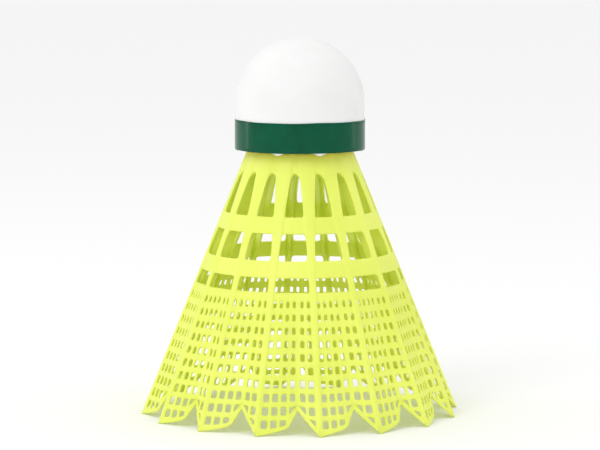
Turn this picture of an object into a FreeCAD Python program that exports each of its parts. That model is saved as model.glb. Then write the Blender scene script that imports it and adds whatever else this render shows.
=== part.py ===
"""Badminton shuttlecock with a one-piece moulded skirt, built as the pieces it is made of.

Frame: millimetres, +Z up through the nose of the cork. The origin is the centre of the circle of
skirt tips, so the shuttlecock stands on its skirt. One ridge of the skirt points along -Y.

Pieces: cork_nose, cork_tail, leather_cover, speed_band, plug_adhesive, skirt.
"""

import FreeCAD
import Part
import math
import os

V = FreeCAD.Vector
AXIS = V(0, 0, 1)
ORIGIN = V(0, 0, 0)

# ---------------------------------------------------------------- skirt: overall
feather_count = 16          # ridges, and so lobes, round the skirt
skirt_length = 54.4         # from the tips up to the cork's rear face
mouth_radius = 32.8         # ridges, at the tips
neck_radius = 10.6          # ridges, at the cork's rear face
pleat_depth = 1.9           # how far a valley lies inside the ridges, at the tips
wide_share = 0.65           # share of a feather's pitch taken by its wide panel
panel_wall = 0.4            # thickness of the netted panels

# ---------------------------------------------------------------- skirt: stages, from the cork down
collar_height = 4.1         # solid collar under the cork
tall_window_height = 8.4    # first row of openings
hoop_height = 3.3           # each of the two plain hoops
square_window_height = 5.2  # second row of openings
slot_height = 2.7           # narrow openings above the net
collar_wall = 0.9
hoop_wall = 0.55
disc_thickness = 0.9        # floor of the collar, which seats on the cork

# ---------------------------------------------------------------- skirt: stems, which run on as ridges
stem_width_collar = 3.5     # where the stem leaves the collar
stem_width_hoop = 2.5       # at the top of the first hoop
stem_width_slot = 1.5       # at the lower edge of the second hoop
ridge_width = 1.0           # at the tips
stem_proud = 0.15           # how far a stem stands out of the hoops and panels
stem_flange = 0.5           # radial thickness of the outer part of a stem
web_thickness = 0.6         # inner fin of a stem
web_depth = 2.6             # fin, measured inwards from the ridge line at the collar

# ---------------------------------------------------------------- skirt: net and lobes
wide_columns = 4            # openings across a wide panel
narrow_columns = 2          # openings across a narrow panel
net_border = 1.8            # solid edge above the first row of openings
row_pitch = 2.5             # from one row of openings to the next
row_opening = 1.45          # height of an opening
bar_width = 0.55            # upright between two openings
ridge_margin = 0.75         # from a ridge line to the first opening
valley_margin = 0.5         # from a valley line to the first opening
valley_bead_radius = 0.35   # round bead along each fold
lobe_depth = 4.7            # from the tips up to the notch between two lobes
lobe_corner_share = 0.75    # where the lobe's second corner lies, across the wide panel
lobe_corner_rise = 1.3      # and how far above the tips it is
lobe_corner_radius = 1.2
rim_width = 0.85            # solid edge round a lobe
least_opening = 0.45        # smaller scraps of openings (square mm) are left solid

# ---------------------------------------------------------------- base
cork_radius = 12.85
nose_side = 0.3             # straight side of the nose piece, below its dome
cover_thickness = 0.35
cover_hem = 0.15            # how far the cover's edge reaches past the cork's rear face
band_width = 6.2
band_thickness = 0.2
band_overlap = 5.0          # length of tape that laps over its own start
plug_radius = 6.0
plug_length = 9.0
plug_wall = 1.0             # round the plug's hollow, which is open to the inside of the skirt
plug_end = 0.8
plug_chamfer = 0.5
plug_groove_count = 3       # glue grooves
plug_groove_depth = 0.35
plug_groove_width = 0.8
glue_gap = 0.1              # adhesive round the plug
glue_end_gap = 0.4          # adhesive above the plug

# ---------------------------------------------------------------- worked out from the above
flare = (mouth_radius - neck_radius) / skirt_length
apex_height = skirt_length + neck_radius / flare
valley_ratio = 1.0 - pleat_depth / mouth_radius
pitch_angle = 2.0 * math.pi / feather_count

collar_bottom = skirt_length - collar_height
upper_hoop_top = collar_bottom - tall_window_height
upper_hoop_bottom = upper_hoop_top - hoop_height
lower_hoop_top = upper_hoop_bottom - square_window_height
lower_hoop_bottom = lower_hoop_top - hoop_height
net_top = lower_hoop_bottom - slot_height
row_count = 1 + int((net_top - net_border - row_opening - rim_width) / row_pitch)

bore_radius = plug_radius + glue_gap
plug_top = skirt_length + plug_length
tail_top = plug_top + glue_end_gap      # where the two pieces of cork meet
nose_top = tail_top + nose_side + cork_radius


def ridge_radius(z):
    """Radius of the ridge lines at height z. They meet on the axis at apex_height."""
    return flare * (apex_height - z)


def polar(radius, angle, z):
    """A point from its radius, its angle from -Y towards +X, and its height."""
    return V(radius * math.sin(angle), -radius * math.cos(angle), z)


def revolve(points):
    """A solid of revolution about Z from (radius, height) corners of its section."""
    corners = [V(r, 0, z) for r, z in points]
    section = Part.Face(Part.makePolygon(corners + corners[:1]))
    return section.revolve(ORIGIN, AXIS, 360)


def prism(corners, direction):
    """The solid between a flat outline and the same outline moved along direction."""
    face = Part.Face(Part.makePolygon(corners + corners[:1]))
    return face.extrude(direction)


class Panel:
    """One flat face of a pleat, from a ridge line to a valley line.

    A place on it is (share, z): share 0 is on the ridge, 1 is in the valley. Its vector
    `through` is level and points outwards, and is as long as the wall is thick that way.
    """

    def __init__(self, ridge_angle, valley_angle, columns):
        self.ridge_angle = ridge_angle
        self.valley_angle = valley_angle
        self.columns = columns
        across = self.at(1, 0) - self.at(0, 0)
        down = self.at(0, 0) - self.at(0, net_top)
        normal = across.cross(down).normalize()
        level = V(normal.x, normal.y, 0)
        through = level * (panel_wall / level.dot(level))
        outward = polar(1, (ridge_angle + valley_angle) / 2, 0)
        self.through = through if through.dot(outward) > 0 else through * -1

    def at(self, share, z):
        ridge = polar(ridge_radius(z), self.ridge_angle, z)
        valley = polar(ridge_radius(z) * valley_ratio, self.valley_angle, z)
        return ridge * (1 - share) + valley * share

    def width(self, z):
        return self.at(0, z).distanceToPoint(self.at(1, z))

    def column_edges(self, column, z):
        """Shares at the two sides of an opening at height z."""
        clear = self.width(z) - ridge_margin - valley_margin
        step = (clear + bar_width) / self.columns
        left = ridge_margin + column * step
        return left / self.width(z), (left + step - bar_width) / self.width(z)

    def opening(self, column, high, low):
        """A cutter for one opening of the net, between two heights."""
        left_high, right_high = self.column_edges(column, high)
        left_low, right_low = self.column_edges(column, low)
        corners = [self.at(left_high, high), self.at(right_high, high),
                   self.at(right_low, low), self.at(left_low, low)]
        return prism([c + self.through for c in corners], self.through * -3)

    def openings(self, field):
        """All the cutters of this panel, kept inside the rim of the lobe."""
        cutters = []
        for row in range(row_count):
            high = net_top - net_border - row * row_pitch
            low = high - row_opening
            for column in range(self.columns):
                cutter = self.opening(column, high, low)
                if low < lobe_depth + 2 * rim_width:
                    cutter = cutter.common(field)
                cutters += [s for s in cutter.Solids
                            if s.Volume > least_opening * 3 * panel_wall]
        return cutters

    def build(self, lower_edge):
        """The netted plate. lower_edge lists (share, z) from the valley to the ridge."""
        outline = [self.at(0, net_top), self.at(1, net_top)]
        outline += [self.at(share, z) for share, z in lower_edge]
        plate = prism(outline, self.through * -1)
        rounded = [e for e in plate.Edges if self.is_lobe_corner(e, lower_edge)]
        if rounded:
            plate = plate.makeFillet(lobe_corner_radius, rounded)
        wire = Part.makePolygon([c + self.through for c in outline + outline[:1]])
        field = Part.Face(wire.makeOffset2D(-rim_width, 2)).extrude(self.through * -3)
        return plate.cut(Part.Compound(self.openings(field)))

    def is_lobe_corner(self, edge, lower_edge):
        """True for an edge through the wall at an inner corner of the lower edge."""
        corners = [self.at(share, z) for share, z in lower_edge[1:-1]]
        middle = edge.valueAt((edge.FirstParameter + edge.LastParameter) / 2)
        half_wall = self.through * 0.5
        return any((c - half_wall).distanceToPoint(middle) < 0.01 for c in corners)


def bar(stations):
    """A straight-sided bar along the ridge at angle 0.

    Each station is (z, width, outer radius, inner radius), from the top down.
    """
    wires = []
    for z, width, outer, inner in stations:
        corners = [V(-width / 2, -outer, z), V(width / 2, -outer, z),
                   V(width / 2, -inner, z), V(-width / 2, -inner, z)]
        wires.append(Part.makePolygon(corners + corners[:1]))
    return Part.makeLoft(wires, True, True)


def make_stem():
    """One stem: a flat outer flange that runs on as the ridge of a pleat."""
    widths = [(skirt_length - disc_thickness / 2, stem_width_collar),
              (collar_bottom, stem_width_collar),
              (upper_hoop_top, stem_width_hoop),
              (lower_hoop_bottom, stem_width_slot),
              (0, ridge_width)]
    return bar([(z, w, ridge_radius(z) + stem_proud, ridge_radius(z) - stem_flange)
                for z, w in widths])


def make_web():
    """The fin inside a stem. It is deepest at the collar and runs out in the net."""
    top = skirt_length - disc_thickness / 2
    run_out = net_top - 2 * row_pitch
    depths = [(top, web_depth), (run_out, stem_flange + 0.1)]
    return bar([(z, web_thickness, ridge_radius(z) - stem_flange / 2, ridge_radius(z) - d)
                for z, d in depths])


def make_bead(valley_angle):
    """A round bead that joins two panels along their fold, and rounds the notch below it."""
    def middle(z):
        return polar(ridge_radius(z) * valley_ratio - valley_bead_radius, valley_angle, z)
    start = middle(net_top)
    run = middle(lobe_depth - valley_bead_radius) - start
    return Part.makeCylinder(valley_bead_radius, run.Length, start, run)


def make_feather():
    """One sixteenth of the skirt below the collar: a stem, two panels and their fold."""
    valley_angle = wide_share * pitch_angle
    wide = Panel(0, valley_angle, wide_columns)
    narrow = Panel(pitch_angle, valley_angle, narrow_columns)
    wide_plate = wide.build([(1, lobe_depth), (lobe_corner_share, lobe_corner_rise), (0, 0)])
    narrow_plate = narrow.build([(1, lobe_depth), (0, 0)])
    return [make_stem(), make_web(), wide_plate, narrow_plate, make_bead(valley_angle)]


def make_hoop(top, bottom):
    """A plain conical hoop through the stems."""
    outer_top, outer_bottom = ridge_radius(top), ridge_radius(bottom)
    return revolve([(outer_top, top), (outer_bottom, bottom),
                    (outer_bottom - hoop_wall, bottom), (outer_top - hoop_wall, top)])


def plug_section():
    """Corners of the plug's outer wall, from the cork's rear face up to the closed end."""
    corners = [(plug_radius, skirt_length)]
    spacing = plug_length / (plug_groove_count + 1)
    for groove in range(plug_groove_count):
        middle = skirt_length + (groove + 1) * spacing
        corners += [(plug_radius, middle - plug_groove_width / 2),
                    (plug_radius - plug_groove_depth, middle),
                    (plug_radius, middle + plug_groove_width / 2)]
    return corners + [(plug_radius, plug_top - plug_chamfer), (plug_radius - plug_chamfer, plug_top)]


def make_hub():
    """Plug, disc and collar, turned about the axis."""
    disc_under = skirt_length - disc_thickness
    core_radius = plug_radius - plug_wall
    collar = [(neck_radius, skirt_length),
              (ridge_radius(collar_bottom), collar_bottom),
              (ridge_radius(collar_bottom) - collar_wall, collar_bottom),
              (ridge_radius(disc_under) - collar_wall, disc_under)]
    core = [(core_radius, disc_under), (core_radius, plug_top - plug_end),
            (0, plug_top - plug_end), (0, plug_top)]
    return revolve(plug_section()[::-1] + collar + core)


def turned(shape, index):
    """A copy of shape, turned by whole feathers about the axis."""
    copy = shape.copy()
    copy.rotate(ORIGIN, AXIS, math.degrees(index * pitch_angle))
    return copy


def make_skirt():
    """The whole moulding as one solid."""
    pieces = make_feather()
    feather = pieces[0].multiFuse(pieces[1:])
    feathers = [turned(feather, i) for i in range(feather_count)]
    hoops = [make_hoop(upper_hoop_top, upper_hoop_bottom),
             make_hoop(lower_hoop_top, lower_hoop_bottom)]
    return make_hub().multiFuse(hoops + feathers)


def dome(radius, top, bottom):
    """A solid with a flat bottom, a straight side and a round top."""
    shoulder = top - radius
    at_45 = radius * math.sqrt(0.5)
    arc = Part.Arc(V(radius, 0, shoulder), V(at_45, 0, shoulder + at_45), V(0, 0, top))
    edges = [Part.LineSegment(V(0, 0, bottom), V(radius, 0, bottom)),
             Part.LineSegment(V(radius, 0, bottom), V(radius, 0, shoulder)),
             arc,
             Part.LineSegment(V(0, 0, top), V(0, 0, bottom))]
    wire = Part.Wire([e.toShape() for e in edges])
    return Part.Face(wire).revolve(ORIGIN, AXIS, 360)


def make_cork_nose():
    """Front piece of the cork, which takes the hit."""
    return dome(cork_radius, nose_top, tail_top)


def make_cork_tail():
    """Rear cork disc with the bore for the skirt's plug."""
    return revolve([(bore_radius, skirt_length), (cork_radius, skirt_length),
                    (cork_radius, tail_top), (bore_radius, tail_top)])


def make_leather_cover():
    """Thin skin over the nose and the side of the cork."""
    hem = skirt_length - cover_hem
    skin = dome(cork_radius + cover_thickness, nose_top + cover_thickness, hem)
    return skin.cut(dome(cork_radius, nose_top, hem))


def make_speed_band():
    """Tape round the base, with its end lapped over its start at the back."""
    inner = cork_radius + cover_thickness
    outer = inner + band_thickness
    foot = V(0, 0, skirt_length)
    ring = Part.makeCylinder(outer, band_width, foot)
    ring = ring.cut(Part.makeCylinder(inner, band_width, foot))
    lap_angle = math.degrees(band_overlap / outer)
    lap = Part.makeCylinder(outer + band_thickness, band_width, foot, AXIS, lap_angle)
    lap = lap.cut(Part.makeCylinder(outer, band_width, foot))
    lap.rotate(ORIGIN, AXIS, 90 - lap_angle / 2)
    return ring.fuse(lap)


def make_plug_adhesive():
    """Glue that fills the bore round and above the plug, grooves included."""
    fill = Part.makeCylinder(bore_radius, tail_top - skirt_length, V(0, 0, skirt_length))
    plug = revolve([(0, skirt_length)] + plug_section() + [(0, plug_top)])
    return fill.cut(plug)


def main():
    """Writes one STEP file for each piece."""
    os.makedirs("parts", exist_ok=True)
    makers = {"cork_nose": make_cork_nose, "cork_tail": make_cork_tail,
              "leather_cover": make_leather_cover, "speed_band": make_speed_band,
              "plug_adhesive": make_plug_adhesive, "skirt": make_skirt}
    for name, make in makers.items():
        shape = make()
        solids = shape.Solids
        print(f"{name}: {len(solids)} solid, {shape.Volume:.0f} cubic mm, valid {shape.isValid()}")
        if len(solids) == 1:
            shape = solids[0]
        shape.exportStep(f"parts/{name}.step")


main()
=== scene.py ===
# %% [markdown]
# # A badminton shuttlecock with a moulded skirt
#
# The object has few pieces. A cork in two layers sits at the top, under a thin white skin. A strip
# of green tape goes round its rear edge. A netted skirt, moulded in one shot of yellow nylon, hangs
# below it, and a hollow plug on the skirt is glued into the cork. This lesson remakes the pieces that
# show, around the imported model, which gives their places and outer sizes. Sizes are in millimetres,
# and `MM` turns them into Blender's metres.

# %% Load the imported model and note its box
import math

import bpy
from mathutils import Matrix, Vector


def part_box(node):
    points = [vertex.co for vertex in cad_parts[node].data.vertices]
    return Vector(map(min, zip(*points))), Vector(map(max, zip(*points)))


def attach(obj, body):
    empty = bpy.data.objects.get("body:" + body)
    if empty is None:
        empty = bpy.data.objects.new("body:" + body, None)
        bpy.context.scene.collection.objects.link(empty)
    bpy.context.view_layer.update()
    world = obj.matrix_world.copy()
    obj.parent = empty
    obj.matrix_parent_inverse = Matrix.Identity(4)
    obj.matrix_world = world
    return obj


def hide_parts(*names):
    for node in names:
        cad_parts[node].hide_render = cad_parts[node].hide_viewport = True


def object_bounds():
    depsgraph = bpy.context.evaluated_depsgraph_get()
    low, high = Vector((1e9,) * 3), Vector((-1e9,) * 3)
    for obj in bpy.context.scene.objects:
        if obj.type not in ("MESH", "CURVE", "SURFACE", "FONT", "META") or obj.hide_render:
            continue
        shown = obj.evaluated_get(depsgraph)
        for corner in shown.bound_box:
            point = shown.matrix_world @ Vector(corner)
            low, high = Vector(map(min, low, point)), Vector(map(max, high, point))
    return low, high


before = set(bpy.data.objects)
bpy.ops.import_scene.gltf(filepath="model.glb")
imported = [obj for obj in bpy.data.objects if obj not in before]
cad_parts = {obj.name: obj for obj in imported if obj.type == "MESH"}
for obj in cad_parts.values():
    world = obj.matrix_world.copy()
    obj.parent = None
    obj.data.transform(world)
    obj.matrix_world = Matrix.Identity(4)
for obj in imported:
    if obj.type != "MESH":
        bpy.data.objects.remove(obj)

MM = 0.001
cad_low, cad_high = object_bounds()
print("packed model, mm:", [round(v / MM, 2) for v in cad_high - cad_low])

# %% [markdown]
# ## Sizes that the frame gives
#
# The nodes' boxes hold the sizes that the tools share: where the cork's rear face is, how wide the
# skin, the tape and the skirt are. The rest are sizes of the moulding itself, in millimetres. They
# go down the skirt from the cork: a solid collar, tall windows, a hoop, square windows, a second
# hoop, a row of slots, and then the net.

# %% Read the sizes
rear_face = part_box("cork_tail")[0].z / MM
skin_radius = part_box("leather_cover")[1].x / MM
skin_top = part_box("leather_cover")[1].z / MM
tape_radius = -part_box("speed_band")[0].x / MM
tape_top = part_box("speed_band")[1].z / MM
tip_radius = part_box("skirt")[1].x / MM
plug_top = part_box("skirt")[1].z / MM

LOBES = 16
NECK_RADIUS = 10.6
RIDGE_LIFT = 0.22
ridge_foot = tip_radius - RIDGE_LIFT

collar_foot = rear_face - 4.1
hoop_a_top = collar_foot - 8.4
hoop_a_foot = hoop_a_top - 3.3
hoop_b_top = hoop_a_foot - 5.2
hoop_b_foot = hoop_b_top - 3.3
net_top = hoop_b_foot - 2.7
print("rear face", round(rear_face, 2), "net top", round(net_top, 2), "tips at", round(tip_radius, 2))

# %% [markdown]
# ## Small tools for the bench
#
# An operator works on whatever is selected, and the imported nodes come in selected, so each piece
# starts with nothing selected. Faces and edges are picked by a test of their place or direction, as
# a hand would click them.

# %% Select, name and pick


def select_only(*pieces):
    if bpy.context.mode != "OBJECT":
        bpy.ops.object.mode_set(mode="OBJECT")
    bpy.ops.object.select_all(action="DESELECT")
    for piece in pieces:
        piece.select_set(True)
        bpy.context.view_layer.objects.active = piece


def newly_made(name):
    """The object that an add operator has just made, named, with its place in its mesh."""
    piece = bpy.context.object
    piece.name = name
    piece.data.name = name
    bpy.ops.object.transform_apply(location=True, rotation=True, scale=True)
    return piece


def pick(piece, kind, test):
    """Opens a piece in edit mode with only the faces or edges selected that pass a test."""
    select_only(piece)
    bpy.ops.object.mode_set(mode="EDIT")
    bpy.ops.mesh.select_mode(type=kind)
    bpy.ops.mesh.select_all(action="DESELECT")
    bpy.ops.object.mode_set(mode="OBJECT")
    for item in piece.data.polygons if kind == "FACE" else piece.data.edges:
        item.select = test(item)
    bpy.ops.object.mode_set(mode="EDIT")


select_only()
print("selected after clearing:", len(bpy.context.selected_objects))

# %% [markdown]
# `tidy` welds a mesh and points its faces outwards. `modify` adds one modifier and applies it.
# `hand_in` hangs a piece on the root body, gives it its material and hides the imported nodes it
# stands for.

# %% Weld, modify, smooth and attach
WELD = 0.02 * MM
SMOOTH_UP_TO = math.radians(35)


def tidy(piece):
    select_only(piece)
    bpy.ops.object.mode_set(mode="EDIT")
    bpy.ops.mesh.select_all(action="SELECT")
    bpy.ops.mesh.remove_doubles(threshold=WELD)
    bpy.ops.mesh.normals_make_consistent(inside=False)
    bpy.ops.object.mode_set(mode="OBJECT")


def modify(piece, kind, **settings):
    """Adds a modifier with these settings and applies it."""
    select_only(piece)
    modifier = piece.modifiers.new(kind.title(), kind)
    for key, value in settings.items():
        setattr(modifier, key, value)
    bpy.ops.object.modifier_apply(modifier=modifier.name)


def smooth(piece, angle=SMOOTH_UP_TO):
    select_only(piece)
    bpy.ops.object.shade_smooth_by_angle(angle=angle)


def hand_in(piece, slot, material, *nodes):
    piece.data.materials.clear()
    piece.data.materials.append(material)
    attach(piece, "root")
    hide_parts(*nodes)
    triangles = sum(len(face.vertices) - 2 for face in piece.data.polygons)
    print(f"{piece.name}: {triangles} triangles")


print("welds closer than", WELD / MM, "mm, smooths edges up to", round(math.degrees(SMOOTH_UP_TO)), "degrees")

# %% [markdown]
# ## The camera and the light
#
# The shuttlecock stands on its skirt, seen from a little above. A long lens keeps its sides nearly
# parallel, as they look from across a table. The camera stands a few degrees left of the ridge that
# points along -Y, so that the pleats are not symmetrical in the view.

# %% Camera
CAMERA_AZIMUTH = math.radians(-6.9)
CAMERA_DISTANCE = 0.6417
CAMERA_HEIGHT = 0.1073
LENS, FILM_WIDTH = 188, 36

aim = Vector((0, 0, (cad_low.z + cad_high.z) / 2))
camera_data = bpy.data.cameras.new("studio_camera")
camera_data.lens = LENS
camera_data.sensor_width = FILM_WIDTH
camera_data.clip_start = 0.01
camera = bpy.data.objects.new("studio_camera", camera_data)
bpy.context.scene.collection.objects.link(camera)
camera.location = (
    math.sin(CAMERA_AZIMUTH) * CAMERA_DISTANCE,
    -math.cos(CAMERA_AZIMUTH) * CAMERA_DISTANCE,
    CAMERA_HEIGHT,
)
camera.rotation_euler = (aim - camera.location).to_track_quat("-Z", "Y").to_euler()
bpy.context.scene.camera = camera
look = aim - camera.location
print("camera looks down by", round(math.degrees(math.asin(-look.z / look.length)), 1), "degrees")

# %% [markdown]
# A photographer would put the shuttlecock in a white tent, on white paper, with one big soft lamp
# high on the left and a narrow strip of light behind it on each side. The strips brighten the tape
# where it turns away at its two sides. The tent matters more than the lamps here, because thin yellow nylon
# glows with the light that comes through it.

# %% Floor and lamps
PAPER_WHITE = 0.95


def make_floor():
    select_only()
    bpy.ops.mesh.primitive_plane_add(size=6.0, location=(0, 0, 0))
    floor = newly_made("white_paper_floor")
    paper = bpy.data.materials.new("white_paper")
    paper.use_nodes = True
    shader = paper.node_tree.nodes["Principled BSDF"]
    shader.inputs["Base Color"].default_value = (PAPER_WHITE, PAPER_WHITE, PAPER_WHITE, 1)
    shader.inputs["Roughness"].default_value = 0.8
    floor.data.materials.append(paper)


def soft_lamp(name, place, size, power):
    """A rectangular lamp that faces the shuttlecock, placed and sized in metres, in watts."""
    lamp_data = bpy.data.lights.new(name, "AREA")
    lamp_data.shape = "RECTANGLE"
    lamp_data.size, lamp_data.size_y = size
    lamp_data.energy = power
    lamp = bpy.data.objects.new(name, lamp_data)
    bpy.context.scene.collection.objects.link(lamp)
    lamp.location = place
    lamp.rotation_euler = (aim - Vector(place)).to_track_quat("-Z", "Y").to_euler()
    print(f"{name}: {power} W")


make_floor()
soft_lamp("key_left", (-0.40, -0.45, 0.55), (0.30, 0.4), 1.1)
soft_lamp("strip_left", (-0.50, 0.22, 0.14), (0.03, 0.4), 0.25)
soft_lamp("strip_right", (0.55, 0.12, 0.14), (0.03, 0.4), 0.15)

# %% [markdown]
# The tent itself is the world: white all round, and brightest overhead, so that upright faces come
# out a little darker than those that look up.

# %% Tent
TENT_AT_HORIZON, TENT_OVERHEAD = 0.66, 1.12


def hang_tent():
    """A white world whose strength grows from the horizon to straight overhead."""
    world = bpy.data.worlds.new("white_tent")
    world.use_nodes = True
    tree = world.node_tree
    background = tree.nodes["Background"]
    background.inputs["Color"].default_value = (1, 1, 1, 1)
    direction = tree.nodes.new("ShaderNodeTexCoord").outputs["Generated"]
    split = tree.nodes.new("ShaderNodeSeparateXYZ")
    height = tree.nodes.new("ShaderNodeMapRange")
    height.inputs["To Min"].default_value = TENT_AT_HORIZON
    height.inputs["To Max"].default_value = TENT_OVERHEAD
    tree.links.new(direction, split.inputs["Vector"])
    tree.links.new(split.outputs["Z"], height.inputs["Value"])
    tree.links.new(height.outputs["Result"], background.inputs["Strength"])
    bpy.context.scene.world = world


hang_tent()
bpy.context.scene.view_settings.view_transform = "Standard"
print("tent:", TENT_AT_HORIZON, "at the horizon,", TENT_OVERHEAD, "overhead")

# %% [markdown]
# ## Finishes
#
# Every finish is made of nodes that read Object coordinates, so no image file is needed. The
# `Finish` below only saves typing: it makes a node, sets its inputs and links them. Distances in a
# finish are in metres, because its nodes read them so.

# %% A helper for writing materials


class Finish:
    """A material whose nodes are added one by one."""

    def __init__(self, name):
        self.material = bpy.data.materials.new(name)
        self.material.use_nodes = True
        self.tree = self.material.node_tree
        self.shader = self.tree.nodes["Principled BSDF"]
        self.place = self.add("TexCoord").outputs["Object"]

    def add(self, kind, settings=None, **inputs):
        node = self.tree.nodes.new("ShaderNode" + kind)
        for key, value in (settings or {}).items():
            setattr(node, key, value)
        for key, value in inputs.items():
            self.put(node, key.replace("_", " "), value)
        return node

    def put(self, node, socket, value):
        if isinstance(value, bpy.types.NodeSocket):
            self.tree.links.new(value, node.inputs[socket])
        else:
            node.inputs[socket].default_value = value

    def shade(self, **inputs):
        for key, value in inputs.items():
            self.put(self.shader, key.replace("_", " "), value)

    def stretched(self, scale):
        mapping = self.add("Mapping", Vector=self.place, Scale=scale)
        return mapping.outputs["Vector"]

    def noise(self, scale, detail=2.0, where=None):
        node = self.add("TexNoise", Vector=where or self.place, Scale=scale, Detail=detail)
        return node.outputs["Fac"]

    def ramp(self, value, *stops):
        """A ColorRamp through (position, colour) stops."""
        node = self.add("ValToRGB", Fac=value)
        elements = node.color_ramp.elements
        while len(elements) < len(stops):
            elements.new(0.5)
        for element, (position, colour) in zip(elements, stops):
            element.position = position
            element.color = (*colour, 1)
        return node.outputs["Color"]

    def remap(self, value, low, high):
        node = self.add("MapRange", Value=value, To_Min=low, To_Max=high)
        return node.outputs["Result"]

    def bump(self, height, distance, strength=1.0, under=None):
        node = self.add("Bump", Height=height, Distance=distance, Strength=strength)
        if under is not None:
            self.put(node, "Normal", under)
        return node.outputs["Normal"]

    def done(self):
        print(f"{self.material.name}: {len(self.tree.nodes)} nodes")
        return self.material


# %% [markdown]
# ### Yellow moulded nylon
#
# The nylon is dyed a fluorescent yellow-green and lets some light through. Fluorescence gives back
# more yellow-green than the light holds, so the finish has a faint painted glow of its own, an emission
# that stands in for it. Subsurface scattering makes thin bars brighter than the thick collar. The mould
# leaves a satin skin with faint flow marks down the skirt.

# %% Nylon


def yellow_nylon():
    nylon = Finish("yellow_moulded_nylon")
    cloud = nylon.noise(60.0, 3.0)
    flow = nylon.noise(400.0, 2.0, nylon.stretched((1, 1, 0.12)))
    grain = nylon.noise(6000.0, 2.0)
    colour = nylon.ramp(cloud, (0.3, (0.75, 0.84, 0.12)), (0.7, (0.82, 0.91, 0.155)))
    normal = nylon.bump(flow, 0.00004, 0.5)
    normal = nylon.bump(grain, 0.000012, 0.4, under=normal)
    nylon.shade(Base_Color=colour, Roughness=nylon.remap(flow, 0.34, 0.5), Normal=normal)
    nylon.shade(Subsurface_Weight=0.25, Subsurface_Radius=(1.0, 1.0, 0.25), Subsurface_Scale=0.0008)
    # Painted glow: a faint yellow-green emission, driven by no lamp, that stands in for fluorescence.
    nylon.shade(IOR=1.45, Emission_Color=(0.75, 0.80, 0.02, 1), Emission_Strength=0.03)
    return nylon.done()


nylon_finish = yellow_nylon()

# %% [markdown]
# ### White grained skin
#
# The cork's skin is a thin synthetic leather. Its grain is a mesh of shallow creases a few tenths
# of a millimetre apart, which Voronoi cells give, over a slow unevenness from the glue below it.

# %% Skin


def grained_skin():
    skin = Finish("white_grained_skin")
    cells = skin.add("TexVoronoi", {"feature": "DISTANCE_TO_EDGE"}, Vector=skin.place, Scale=2600.0)
    creases = skin.ramp(cells.outputs["Distance"], (0.0, (0, 0, 0)), (0.22, (1, 1, 1)))
    fine = skin.noise(9000.0, 3.0)
    slow = skin.noise(180.0, 3.0)
    colour = skin.ramp(slow, (0.3, (0.855, 0.85, 0.84)), (0.7, (0.885, 0.88, 0.87)))
    normal = skin.bump(slow, 0.00005, 0.3)
    normal = skin.bump(creases, 0.00003, 0.6, under=normal)
    normal = skin.bump(fine, 0.00001, 0.4, under=normal)
    skin.shade(Base_Color=colour, Roughness=skin.remap(fine, 0.42, 0.58), Normal=normal)
    skin.shade(Sheen_Weight=0.12, Subsurface_Weight=0.08, Subsurface_Scale=0.001)
    return skin.done()


skin_finish = grained_skin()

# %% [markdown]
# ### Green tape
#
# The tape is a glossy film printed dark green. It is stretched on by machine, so it has fine lines
# along its length and a slow waviness, which break up the reflections.

# %% Tape


def green_tape():
    tape = Finish("green_glossy_tape")
    lines = tape.noise(900.0, 2.0, tape.stretched((0.05, 0.05, 1)))
    waves = tape.noise(220.0, 2.0)
    speck = tape.noise(7000.0, 2.0)
    colour = tape.ramp(waves, (0.3, (0.0, 0.072, 0.032)), (0.7, (0.0, 0.095, 0.045)))
    normal = tape.bump(waves, 0.00006, 0.5)
    normal = tape.bump(lines, 0.00001, 0.35, under=normal)
    tape.shade(Base_Color=colour, Roughness=tape.remap(speck, 0.16, 0.26), Normal=normal)
    tape.shade(Specular_IOR_Level=0.14)
    return tape.done()


tape_finish = green_tape()

# %% [markdown]
# ### Cork and glue
#
# The cork shows only as a narrow ring round the collar, from below. It is pressed from granules, so
# each Voronoi cell has a brown of its own, with dark gaps between. The glue is set and amber.

# %% Cork and glue


def pressed_cork():
    cork = Finish("pressed_cork")
    cells = cork.add("TexVoronoi", Vector=cork.place, Scale=900.0)
    edges = cork.add("TexVoronoi", {"feature": "DISTANCE_TO_EDGE"}, Vector=cork.place, Scale=900.0)
    tone = cork.add("SeparateColor", Color=cells.outputs["Color"]).outputs["Red"]
    granule = cork.ramp(tone, (0.0, (0.28, 0.14, 0.06)), (0.5, (0.50, 0.29, 0.14)), (1.0, (0.66, 0.44, 0.25)))
    gap = cork.ramp(edges.outputs["Distance"], (0.0, (0, 0, 0)), (0.06, (1, 1, 1)))
    colour = cork.add("MixRGB", Fac=gap, Color1=(0.09, 0.04, 0.02, 1), Color2=granule).outputs["Color"]
    cork.shade(Base_Color=colour, Roughness=cork.remap(cork.noise(3000.0), 0.75, 0.95))
    cork.shade(Normal=cork.bump(gap, 0.00015, 0.8))
    return cork.done()


def amber_glue():
    glue = Finish("amber_set_glue")
    cloud = glue.noise(500.0)
    glue.shade(Base_Color=glue.ramp(cloud, (0.3, (0.62, 0.50, 0.25)), (0.7, (0.80, 0.70, 0.42))))
    glue.shade(Roughness=glue.remap(cloud, 0.15, 0.3), Subsurface_Weight=0.2, Subsurface_Scale=0.001)
    return glue.done()


cork_finish = pressed_cork()
glue_finish = amber_glue()

# %% [markdown]
# ## The skirt
#
# The skirt is a thin wall with nearly a thousand openings, and all of it repeats sixteen times. A
# grid is the natural start: its columns follow the ridges and bars, its rows follow the hoops and cross
# bars, and a face is deleted wherever there is an opening. One lobe is laid out that way, spun into
# sixteen copies, welded, and given its wall by a Solidify modifier. A Subdivision Surface then
# rounds every edge the way a mould does.
#
# Down to the slots the wall is round. Below them it is pleated: a wide panel runs from each ridge to
# the next valley, and a narrow one back up to the next ridge. A place on the wall is given by its
# panel, its distance from the panel's ridge and its height.

# %% Where the skirt's wall runs
PITCH = math.tau / LOBES
WIDE_SHARE = 0.65
PLEAT_TOP, PLEAT_FOOT = 0.5, 1.9


def mix(a, b, t):
    return a + (b - a) * t


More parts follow.
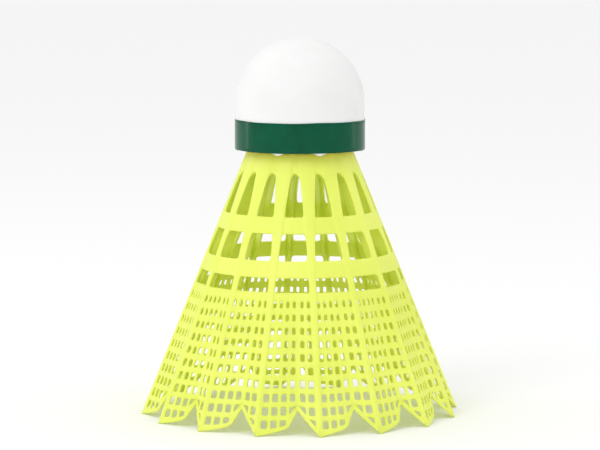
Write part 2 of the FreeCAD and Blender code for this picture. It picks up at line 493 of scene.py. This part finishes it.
def ease(z, start, end):
    """0 above start, 1 below end, and a straight mix between them."""
    return min(1.0, max(0.0, (start - z) / (start - end)))


def ridge_radius(z):
    return mix(ridge_foot, NECK_RADIUS, z / rear_face)


def pleat(z):
    """How far the valley lies inside the ridges."""
    return ease(z, hoop_b_foot, net_top) * mix(PLEAT_FOOT, PLEAT_TOP, z / net_top)


def valley_share(z):
    return mix(0.5, WIDE_SHARE, ease(z, hoop_b_foot, net_top))


def panel_width(side, z):
    share = valley_share(z) if side == "wide" else 1 - valley_share(z)
    return math.hypot(ridge_radius(z) * share * PITCH, pleat(z))


def on_wall(side, offset, z):
    """A point of the wall, offset millimetres along a panel from its ridge."""
    t = offset / panel_width(side, z)
    ridge_angle = 0.0 if side == "wide" else PITCH
    angle = mix(ridge_angle, valley_share(z) * PITCH, t)
    radius = ridge_radius(z) - pleat(z) * t
    bow = ridge_radius(z) * (1 - math.cos((angle - ridge_angle) * 0.5)) * 2 * (1 - t)
    return radius - bow * ease(z, hoop_b_foot, net_top), angle


print("panels at the foot, mm:", round(panel_width("wide", 0), 2), "and", round(panel_width("narrow", 0), 2))

# %% [markdown]
# The lower edge of a lobe starts at the ridge's tip, rises slowly along the wide panel to a rounded
# corner, and then climbs steeply to the notch. On the narrow panel it climbs straight from the tip
# to the notch. The two slopes are joined by a smooth maximum, which rounds the corner.

# %% The lower edge of a lobe
NOTCH = 4.7
CORNER_SHARE, CORNER_RISE = 0.78, 1.25
CORNER_SOFTNESS = 0.8
RIM = 0.85


def smooth_max(a, b, softness):
    return 0.5 * (a + b + math.sqrt((a - b) ** 2 + softness**2))


def lobe_edge(side, t):
    if side == "narrow":
        return NOTCH * t
    gentle = CORNER_RISE * t / CORNER_SHARE
    steep = mix(NOTCH, CORNER_RISE, (1 - t) / (1 - CORNER_SHARE))
    start = smooth_max(0.0, mix(NOTCH, CORNER_RISE, 1 / (1 - CORNER_SHARE)), CORNER_SOFTNESS)
    return smooth_max(gentle, steep, CORNER_SOFTNESS) - start * (1 - t)


def rim_edge(side, t, width):
    """The upper side of the solid rim, measured square to the lobe's edge."""
    step = 0.02
    rise = lobe_edge(side, min(1, t + step)) - lobe_edge(side, max(0, t - step))
    run = width * (min(1, t + step) - max(0, t - step))
    return lobe_edge(side, t) + RIM * math.hypot(1, rise / run)


print("a lobe's edge, ridge to valley:", [round(lobe_edge("wide", i / 4), 2) for i in range(5)])

# %% [markdown]
# ### Columns and rows of the grid
#
# A column is a place across one lobe, counted in millimetres from the ridge it belongs to. The
# stem takes the first three: its centre fin, its raised face and its side. The bars of the net
# share out what is left of each panel. The upper windows need no bars, so there the columns are
# simply spread evenly.

# %% Columns
WIDE_OPENINGS, NARROW_OPENINGS = 4, 2
FIN_HALF = 0.30
BAR_TOP, BAR_FOOT = 0.78, 0.62
RIDGE_MARGIN, VALLEY_MARGIN = 0.78, 0.5
STEM_AT_COLLAR, STEM_AT_HOOP_A, STEM_AT_HOOP_B, STEM_AT_FOOT = 1.72, 1.2, 0.74, 0.5
STEM_SLOPE, LEAST_SLOPE, LEAST_FACE = 0.14, 0.2, 0.05


def stem_half(z):
    """Half the width of a stem's face. It narrows in three stages."""
    if z > collar_foot:
        return STEM_AT_COLLAR
    if z > hoop_a_top:
        return mix(STEM_AT_HOOP_A, STEM_AT_COLLAR, (z - hoop_a_top) / (collar_foot - hoop_a_top))
    if z > hoop_b_foot:
        return mix(STEM_AT_HOOP_B, STEM_AT_HOOP_A, (z - hoop_b_foot) / (hoop_a_top - hoop_b_foot))
    return mix(STEM_AT_FOOT, STEM_AT_HOOP_B, z / hoop_b_foot)


def panel_columns(side, count, z):
    """Offsets from the ridge to the valley: stem, then openings and bars, then the valley."""
    width = panel_width(side, z)
    netted = ease(z, hoop_b_foot, net_top)
    side_of_stem = mix(stem_half(z), RIDGE_MARGIN, netted)
    face_of_stem = min(stem_half(z) - STEM_SLOPE, side_of_stem - LEAST_SLOPE)
    bar = mix(BAR_FOOT, BAR_TOP, min(1.0, z / net_top))
    step = (width - RIDGE_MARGIN - VALLEY_MARGIN + bar) / count
    offsets = [0.0, min(FIN_HALF, face_of_stem - LEAST_FACE), face_of_stem]
    edges = 2 * count
    for edge in range(edges):
        even = mix(side_of_stem, width, edge / edges)
        along = RIDGE_MARGIN + (edge // 2) * step + (step - bar if edge % 2 else 0)
        offsets.append(mix(even, along, netted))
    return offsets + [width]


def lobe_columns(z):
    wide = [("wide", offset) for offset in panel_columns("wide", WIDE_OPENINGS, z)]
    narrow = [("narrow", offset) for offset in panel_columns("narrow", NARROW_OPENINGS, z)]
    return wide + narrow[-2::-1]


COLUMNS = len(lobe_columns(rear_face)) - 1
STEM_COLUMNS = 3
NET_COLUMNS = [STEM_COLUMNS + 2 * i for i in range(WIDE_OPENINGS)]
NET_COLUMNS += [COLUMNS - 1 - STEM_COLUMNS - 2 * i for i in range(NARROW_OPENINGS)]
print("columns in a lobe:", COLUMNS, "openings at", sorted(NET_COLUMNS))

# %% [markdown]
# A row is a height. Each entry says what lies between it and the next row down: wall, a window
# between two stems, or the net. Extra rows close to the hoops' edges keep those edges crisp when
# the mesh is subdivided. The openings of the net grow a little towards the lobes. The last two rows
# have no height of their own: they follow the lobe's rim and its edge.

# %% Rows
NET_BORDER, ROW_PITCH, NET_ROWS = 1.85, 2.5, 10
OPENING_TOP, OPENING_FOOT = 1.15, 1.6
EDGE = 0.3
SHOULDER = 0.15
ARCH_ROWS = (1.9, 4.2)


def skirt_rows():
    rows = [(rear_face, "wall"), (rear_face - SHOULDER, "wall"), (collar_foot + 2 * EDGE, "wall")]
    rows += [(collar_foot, "window")] + [(collar_foot - drop, "window") for drop in ARCH_ROWS]
    rows += [(hoop_a_top, "wall"), (hoop_a_top - EDGE, "wall"), (hoop_a_foot + EDGE, "wall")]
    rows += [(hoop_a_foot, "window"), (mix(hoop_a_foot, hoop_b_top, 0.5), "window")]
    rows += [(hoop_b_top, "wall"), (hoop_b_top - EDGE, "wall"), (hoop_b_foot + EDGE, "wall")]
    rows += [(hoop_b_foot, "window"), (net_top, "wall")]
    for row in range(NET_ROWS):
        top = net_top - NET_BORDER - row * ROW_PITCH
        opening = mix(OPENING_TOP, OPENING_FOOT, row / (NET_ROWS - 1))
        rows += [(top, "net"), (top - opening, "wall")]
    return rows + [("rim", "wall"), ("edge", "wall")]


ROWS = skirt_rows()
print("rows:", len(ROWS))

# %% [markdown]
# ### Laying out one lobe
#
# The grid's vertices are put in place one by one, because a height and an offset give each of them
# exactly. Near the lobe's edge a row that would fall into the rim stops on it, so the last cross
# bars run into the rim as they do in the mould, and openings that shrink to scraps stay filled. The
# tops of the tall windows are pulled down at their sides, which makes them arches.

# %% One lobe
ARCH = 1.1
LEAST_OPENING = 0.45
LOWEST_GUESS, MIDDLE_OF_EDGE = 0.5, 2.0


def grid_point(column, row):
    """(radius, angle, height) of a vertex of the lobe's grid."""
    height = ROWS[row][0]
    guess = LOWEST_GUESS if isinstance(height, str) else max(height, LOWEST_GUESS)
    side, offset = lobe_columns(guess)[column]
    t = offset / panel_width(side, guess)
    rim = rim_edge(side, t, panel_width(side, MIDDLE_OF_EDGE))
    if height == "rim":
        height = rim
    elif height == "edge":
        height = lobe_edge(side, t)
    else:
        height = max(height, rim)
    side, offset = lobe_columns(height)[column]
    raised = column < STEM_COLUMNS or column > COLUMNS - STEM_COLUMNS
    if height == collar_foot and not raised:
        across = 2 * (column - STEM_COLUMNS) / (COLUMNS - 2 * STEM_COLUMNS) - 1
        height -= ARCH * (1 - math.sqrt(max(0.0, 1 - across**2)))
    radius, angle = on_wall(side, offset, height)
    return radius + (RIDGE_LIFT if raised else 0.0), angle, height


def is_open(column, row):
    """True for a cell of the grid that is an opening."""
    kind = ROWS[row][1]
    if kind == "window":
        return STEM_COLUMNS <= column < COLUMNS - STEM_COLUMNS
    if kind == "net" and column in NET_COLUMNS:
        corners = [grid_point(column + i, row + j) for j in (0, 1) for i in (0, 1)]
        tall = (corners[0][2] - corners[2][2] + corners[1][2] - corners[3][2]) / 2
        return tall > LEAST_OPENING
    return False


def lay_out_lobe():
    select_only()
    down = len(ROWS) - 1
    bpy.ops.mesh.primitive_grid_add(x_subdivisions=COLUMNS, y_subdivisions=down, size=1)
    lobe = newly_made("moulded_skirt")
    cells = {v.index: (round((v.co.x + 0.5) * COLUMNS), round((0.5 - v.co.y) * down))
             for v in lobe.data.vertices}
    for vertex in lobe.data.vertices:
        radius, angle, height = grid_point(*cells[vertex.index])
        vertex.co = (radius * math.sin(angle) * MM, -radius * math.cos(angle) * MM, height * MM)

    def opening(face):
        columns, rows = zip(*(cells[i] for i in face.vertices))
        return is_open(min(columns), min(rows))

    pick(lobe, "FACE", opening)
    bpy.ops.mesh.delete(type="FACE")
    bpy.ops.object.mode_set(mode="OBJECT")
    return lobe


skirt = lay_out_lobe()
net_openings = sum(is_open(column, row) for row in range(len(ROWS) - 1) if ROWS[row][1] == "net"
                   for column in NET_COLUMNS)
print("faces left in one lobe:", len(skirt.data.polygons), "openings in its net:", net_openings)

# %% [markdown]
# ### Sixteen lobes, one wall
#
# Spin with `dupli` copies the lobe round the axis, and welding joins the copies along their ridges.
# The wall is thickest at the collar and thinnest in the net, so a vertex group tells Solidify how
# much of its thickness to use.

# %% Spin, weld and thicken
COLLAR_WALL, HOOP_WALL, NET_WALL = 0.9, 0.6, 0.46


def wall_thickness(z):
    if z > hoop_b_foot:
        return mix(HOOP_WALL, COLLAR_WALL, ease(-z, -hoop_a_top, -collar_foot))
    return mix(NET_WALL, HOOP_WALL, ease(-z, -net_top, -hoop_b_foot))


select_only(skirt)
bpy.ops.object.mode_set(mode="EDIT")
bpy.ops.mesh.select_all(action="SELECT")
bpy.ops.mesh.spin(steps=LOBES - 1, dupli=True, angle=PITCH * (LOBES - 1), center=(0, 0, 0), axis=(0, 0, 1))
bpy.ops.object.mode_set(mode="OBJECT")
tidy(skirt)

thickness = skirt.vertex_groups.new(name="wall")
for vertex in skirt.data.vertices:
    thickness.add([vertex.index], wall_thickness(vertex.co.z / MM) / COLLAR_WALL, "REPLACE")
modify(skirt, "SOLIDIFY", thickness=COLLAR_WALL * MM, offset=-1, vertex_group="wall")
print("faces after the wall:", len(skirt.data.polygons))

# %% [markdown]
# ### Fins inside the stems
#
# Each stem has a fin along its inner side, deep at the collar and running out in the net, which
# makes it stiff. The faces that lie behind the middle of a stem are extruded, and the new ones are
# then pushed towards the axis, each by the fin's depth at its height.

# %% Fins
FIN_DEPTH, FIN_FOOT_DEPTH = 3.2, 0.75
FIN_TOP_GAP = 0.2
FIN_SHARE = 0.6
LEVEL = 0.9
fin_foot = net_top - 2 * ROW_PITCH


def turn_from_ridge(point):
    """Angle between a point and the nearest ridge."""
    angle = math.atan2(point.x, -point.y) % PITCH
    return min(angle, PITCH - angle)


def behind_a_stem(face):
    inward = face.normal.x * face.center.x + face.normal.y * face.center.y < 0
    radius = math.hypot(face.center.x, face.center.y) / MM
    across = turn_from_ridge(face.center) * radius
    high = fin_foot < face.center.z / MM < rear_face - FIN_TOP_GAP
    return inward and abs(face.normal.z) < LEVEL and across < FIN_SHARE * FIN_HALF and high


pick(skirt, "FACE", behind_a_stem)
bpy.ops.mesh.extrude_region_move(MESH_OT_extrude_region={"use_normal_flip": False})
bpy.ops.object.mode_set(mode="OBJECT")
print("corners of the fins:", sum(vertex.select for vertex in skirt.data.vertices))
for vertex in skirt.data.vertices:
    if vertex.select:
        z = vertex.co.z / MM
        depth = mix(FIN_FOOT_DEPTH, FIN_DEPTH, min(1.0, (z - fin_foot) / (hoop_a_top - fin_foot)))
        radius = math.hypot(vertex.co.x, vertex.co.y)
        wanted = (ridge_radius(z) - depth) * MM
        factor = min(1.0, wanted / radius)
        vertex.co.x *= factor
        vertex.co.y *= factor

# %% [markdown]
# ### Rounding, with square openings
#
# A Subdivision Surface alone would turn the small oblong openings of the net into ovals. It leaves
# the old vertices first in the mesh and puts one for each old edge after them. So the corners of each
# opening, and the middles of the edges that cross the wall there, are noted before it, and are then
# pulled most of the way back to their places. The rims between them stay rounded. Last, nothing of
# the skirt may lie below the floor that its tips stand on.

# %% Subdivide, and hold the corners of the openings
CORNER_HOLD = 0.65
LINING, CROSSING = 0.6, 0.7


def beside_an_opening(face):
    """True for the faces of the net that line an opening: they don't face out or in."""
    facing = face.normal.x * face.center.x + face.normal.y * face.center.y
    outward = facing / math.hypot(face.center.x, face.center.y)
    return abs(outward) < LINING and face.center.z < net_top * MM


def crosses_the_wall(a, b):
    """True when the way from a to b goes through the wall more than along it."""
    step = math.hypot(a.x, a.y) - math.hypot(b.x, b.y)
    return abs(step) > CROSSING * (a - b).length


points = skirt.data.vertices
corners = {}
for face in skirt.data.polygons:
    if beside_an_opening(face):
        for index in face.vertices:
            corners[index] = points[index].co.copy()
held = dict(corners)
for edge in skirt.data.edges:
    ends = [corners.get(index) for index in edge.vertices]
    if all(ends) and crosses_the_wall(*ends):
        held[len(points) + edge.index] = (ends[0] + ends[1]) / 2

modify(skirt, "SUBSURF", levels=1, render_levels=1)
moved = 0.0
for index, place in held.items():
    vertex = skirt.data.vertices[index]
    moved = max(moved, (vertex.co - place).length / MM)
    vertex.co = vertex.co.lerp(place, CORNER_HOLD)
print("points held:", len(held), "that had moved at most", round(moved, 2), "mm")

# %% Set the tips on the floor
for vertex in skirt.data.vertices:
    vertex.co.z = max(vertex.co.z, 0.0)
print("faces after subdivision:", len(skirt.data.polygons))

# %% [markdown]
# ### The plug and its disc
#
# At the top, the collar is closed by a disc that seats on the cork, and a hollow plug stands on it.
# Both are round, so a filled circle is extruded and scaled step by step along their outline, over
# the plug's glue grooves, out along the disc, and back inside up to the end of the hollow.

# %% Plug
PLUG_RADIUS, PLUG_HOLLOW = 6.0, 5.0
PLUG_CREASE = math.radians(50)
PLUG_CHAMFER, PLUG_END, PLUG_SIDES = 0.5, 0.8, 72
GROOVES, GROOVE_DEPTH, GROOVE_HALF = 3, 0.35, 0.4
DISC_RADIUS, DISC_THICKNESS, HOLLOW_CHAMFER = NECK_RADIUS - 0.1, 0.9, 0.3


def plug_outline():
    """(radius, height) steps, from the plug's end to the bottom of its hollow."""
    steps = [(PLUG_RADIUS, plug_top - PLUG_CHAMFER)]
    length = plug_top - rear_face
    for groove in range(GROOVES, 0, -1):
        middle = rear_face + groove * length / (GROOVES + 1)
        steps += [(PLUG_RADIUS, middle + GROOVE_HALF), (PLUG_RADIUS - GROOVE_DEPTH, middle)]
        steps += [(PLUG_RADIUS, middle - GROOVE_HALF)]
    under = rear_face - DISC_THICKNESS
    steps += [(PLUG_RADIUS, rear_face), (DISC_RADIUS, rear_face)]
    steps += [(DISC_RADIUS, under), (PLUG_HOLLOW + HOLLOW_CHAMFER, under)]
    return steps + [(PLUG_HOLLOW, under + HOLLOW_CHAMFER), (PLUG_HOLLOW, plug_top - PLUG_END)]


def make_plug():
    select_only()
    start = PLUG_RADIUS - PLUG_CHAMFER
    bpy.ops.mesh.primitive_circle_add(vertices=PLUG_SIDES, radius=start * MM, fill_type="NGON",
                                      location=(0, 0, plug_top * MM))
    plug = newly_made("plug_and_disc")
    bpy.ops.object.mode_set(mode="EDIT")
    bpy.ops.mesh.select_all(action="SELECT")
    radius, height = start, plug_top
    for next_radius, next_height in plug_outline():
        rise = (0, 0, (next_height - height) * MM)
        bpy.ops.mesh.extrude_region_move(TRANSFORM_OT_translate={"value": rise})
        scale = next_radius / radius
        bpy.ops.transform.resize(value=(scale, scale, 1), center_override=(0, 0, next_height * MM))
        radius, height = next_radius, next_height
    bpy.ops.object.mode_set(mode="OBJECT")
    tidy(plug)
    return plug


plug = make_plug()
select_only(plug, skirt)
bpy.ops.object.join()
smooth(skirt, PLUG_CREASE)
hand_in(skirt, "skirt", nylon_finish, "skirt")

# %% [markdown]
# ## The white skin over the cork
#
# The skin is one disc of thin synthetic leather, stretched over the nose and glued down the side.
# It is a dome on a short tube, so a sphere is cut at its widest and its edge is extruded down. The
# tape presses into it: the skin swells a little just above the tape. Its lower edge was cut by
# hand, so it peeps out under the tape in places.

# %% Swell and hem
SKIN_THICKNESS = 0.35
BULGE, BULGE_ABOVE, BULGE_REACH = 0.07, 0.55, 0.45


def skin_bulge(z):
    """The skin stands proud by this much just above the tape's edge."""
    return BULGE * math.exp(-(((z - tape_top - BULGE_ABOVE) / BULGE_REACH) ** 2))


# Each scrap has its angle from the front, in degrees, and its depth.
HEM_SCRAPS = ((-27, 0.55), (11, 0.6), (68, 0.4), (118, 0.6), (171, 0.5), (-141, 0.6), (-88, 0.4))
SCRAP_REACH = math.radians(4.5)
HEM_REST = rear_face + 0.12


def hem_drop(angle):
    """How far the skin's cut edge hangs below the tape: scraps at a few angles, and nothing between."""
    drop = 0.0
    for degrees, depth in HEM_SCRAPS:
        away = (angle - math.radians(degrees) + math.pi) % math.tau - math.pi
        drop += depth * math.exp(-((away / SCRAP_REACH) ** 2))
    return drop


print("hem at", round(HEM_REST, 2), "mm, with", len(HEM_SCRAPS), "scraps below it")

# %% [markdown]
# The skin's rows lie close together about the tape's edge, where it swells, and at the hem, where the
# scraps are. They are extruded one after another, then pushed out and down by the two functions above.
# Solidify gives the skin its thickness, and a small bevel takes the sharpness off its cut edge.

# %% Dome, side and hem
DOME_SIDES = 128
CROWN = 1.0
RIM_SLACK, HEM_SLACK = 0.001, 0.1
SOFT_EDGE, CUT_ANGLE = 0.08, math.radians(50)


def skin_rows(shoulder):
    rows = [shoulder - 1.2, tape_top + 1.4, tape_top + 0.9, tape_top + 0.5, tape_top + 0.15]
    rows += [tape_top - 0.3, mix(tape_top, HEM_REST, 0.5)]
    return rows + [HEM_REST + 0.6, HEM_REST + 0.25, HEM_REST]


def make_skin():
    select_only()
    shoulder = skin_top - skin_radius
    bpy.ops.mesh.primitive_uv_sphere_add(segments=DOME_SIDES, ring_count=DOME_SIDES // 2,
                                         radius=skin_radius * MM, location=(0, 0, shoulder * MM))
    skin = newly_made("white_skin")
    bpy.ops.object.mode_set(mode="EDIT")
    bpy.ops.mesh.select_all(action="SELECT")
    bpy.ops.mesh.bisect(plane_co=(0, 0, shoulder * MM), plane_no=(0, 0, 1), clear_inner=True)
    rim = (shoulder + RIM_SLACK) * MM
    points = skin.data.vertices
    pick(skin, "EDGE", lambda edge: all(points[i].co.z < rim for i in edge.vertices))
    last = shoulder
    for height in skin_rows(shoulder):
        drop = (0, 0, (height - last) * MM)
        bpy.ops.mesh.extrude_region_move(TRANSFORM_OT_translate={"value": drop})
        last = height
    bpy.ops.object.mode_set(mode="OBJECT")
    for vertex in skin.data.vertices:
        z = vertex.co.z / MM
        radius = math.hypot(vertex.co.x, vertex.co.y) / MM
        if radius > CROWN:
            factor = 1 + skin_bulge(z) / radius
            vertex.co.x *= factor
            vertex.co.y *= factor
        if z < HEM_REST + HEM_SLACK:
            vertex.co.z -= hem_drop(math.atan2(vertex.co.x, -vertex.co.y)) * MM
    tidy(skin)
    modify(skin, "SOLIDIFY", thickness=SKIN_THICKNESS * MM, offset=-1)
    modify(skin, "BEVEL", width=SOFT_EDGE * MM, segments=2, limit_method="ANGLE", angle_limit=CUT_ANGLE)
    return skin


skin = make_skin()
smooth(skin)
hand_in(skin, "cover", skin_finish, "leather_cover")

# %% [markdown]
# ## The green tape
#
# The tape is a strip that goes once round the base and laps over its own start at the back. A grid
# is rolled up by code, because its end has to ride up over the start, which no ring would do. Its
# edges waver by less than a tenth of a millimetre, as a machine leaves them.

# %% Tape
TAPE_THICKNESS = 0.2
LAP_LENGTH = 5.0
LAP_STEP = 0.012
LAP_FIT = 0.98
TAPE_SOFT_EDGE = 0.05
SWELL = 0.02
LOWER_GAP, UPPER_GAP = 0.03, 0.06
LOWER_WAVER = 0.4
TAPE_ALONG, TAPE_ACROSS = 300, 8


def tape_height(u):
    """How far the tape has climbed, from its start (0) to its end (1), over its own start."""
    lap = LAP_LENGTH / (math.tau * tape_radius + LAP_LENGTH)
    climb = min(1.0, max(0.0, (u - (1 - lap)) / LAP_STEP + 0.5))
    return TAPE_THICKNESS * climb * climb * (3 - 2 * climb)


def edge_waver(angle):
    return 0.05 * math.sin(4 * angle + 0.4) + 0.03 * math.sin(9 * angle)


def make_tape():
    select_only()
    bpy.ops.mesh.primitive_grid_add(x_subdivisions=TAPE_ALONG, y_subdivisions=TAPE_ACROSS, size=1)
    tape = newly_made("green_tape")
    turn = math.tau + LAP_LENGTH / tape_radius
    start = math.pi - LAP_LENGTH / tape_radius / 2
    for vertex in tape.data.vertices:
        u, v = vertex.co.x + 0.5, vertex.co.y + 0.5
        angle = start + turn * u
        swell = SWELL * math.sin(3 * angle + 1.0) * math.sin(math.pi * v)
        radius = tape_radius + tape_height(u) + swell - SWELL
        waver = edge_waver(angle) * (1 if v > 0.5 else LOWER_WAVER)
        z = mix(rear_face + LOWER_GAP, tape_top - UPPER_GAP, v) + waver
        vertex.co = (radius * math.sin(angle) * MM, -radius * math.cos(angle) * MM, z * MM)
    modify(tape, "SOLIDIFY", thickness=TAPE_THICKNESS * MM * LAP_FIT, offset=-1)
    modify(tape, "BEVEL", width=TAPE_SOFT_EDGE * MM, segments=2, limit_method="ANGLE", angle_limit=CUT_ANGLE)
    return tape


tape = make_tape()
smooth(tape)
hand_in(tape, "band", tape_finish, "speed_band")

# %% [markdown]
# ## Cork and glue
#
# The two cork layers and the glue are simple turned shapes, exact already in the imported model, and
# nearly all of them is hidden. They stay, with their finishes put on.

# %% Cork and glue


def finish_node(node, material):
    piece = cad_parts[node]
    piece.data.materials.clear()
    piece.data.materials.append(material)
    print(f"{node} takes {material.name}")


finish_node("cork_nose", cork_finish)
finish_node("cork_tail", cork_finish)
finish_node("plug_adhesive", glue_finish)
